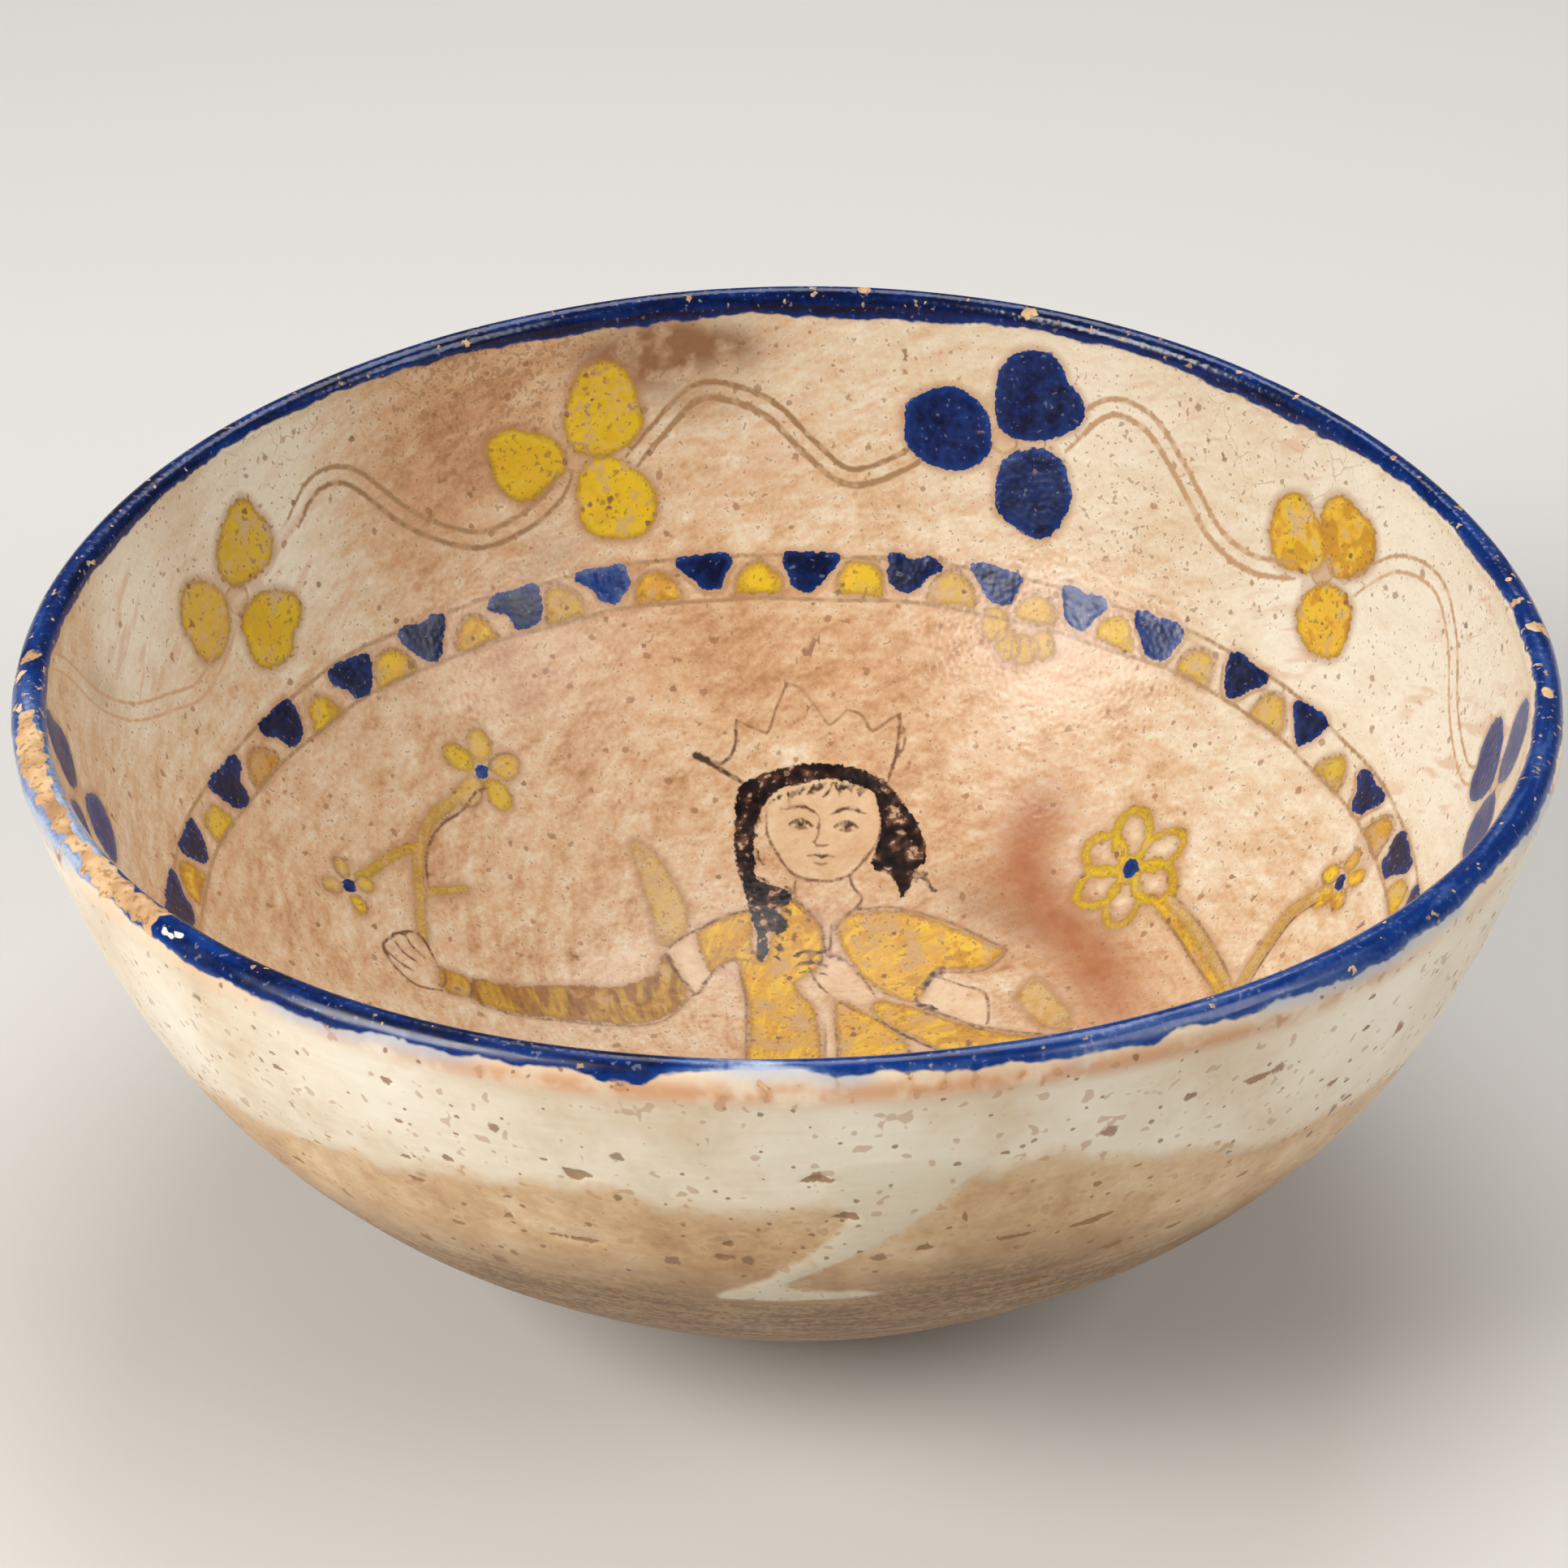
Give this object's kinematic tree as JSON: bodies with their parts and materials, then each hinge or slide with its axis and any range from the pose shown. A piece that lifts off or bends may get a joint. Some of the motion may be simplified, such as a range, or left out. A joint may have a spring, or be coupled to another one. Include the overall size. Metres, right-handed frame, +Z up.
{
  "type": "painted tin-glazed bowl",
  "caption": "Round, deep, thin-walled earthenware bowl on a low foot ring, with a soft slightly warped lip, for holding or serving food and for display.",
  "frame": {"origin": "under the middle of the lip's outline, on the surface that the foot ring stands on", "axes": "+Z up out of the hollow; +Y towards the top of the painted figure inside, so a viewer who sees it upright looks in from -Y; +X to that viewer's right"},
  "size_m": [0.2113, 0.2088, 0.0932],
  "materials": {
    "painted_glaze": "gloss"
  },
  "bodies": {
    "root": {"bowl": "painted_glaze"}
  },
  "joints": []
}
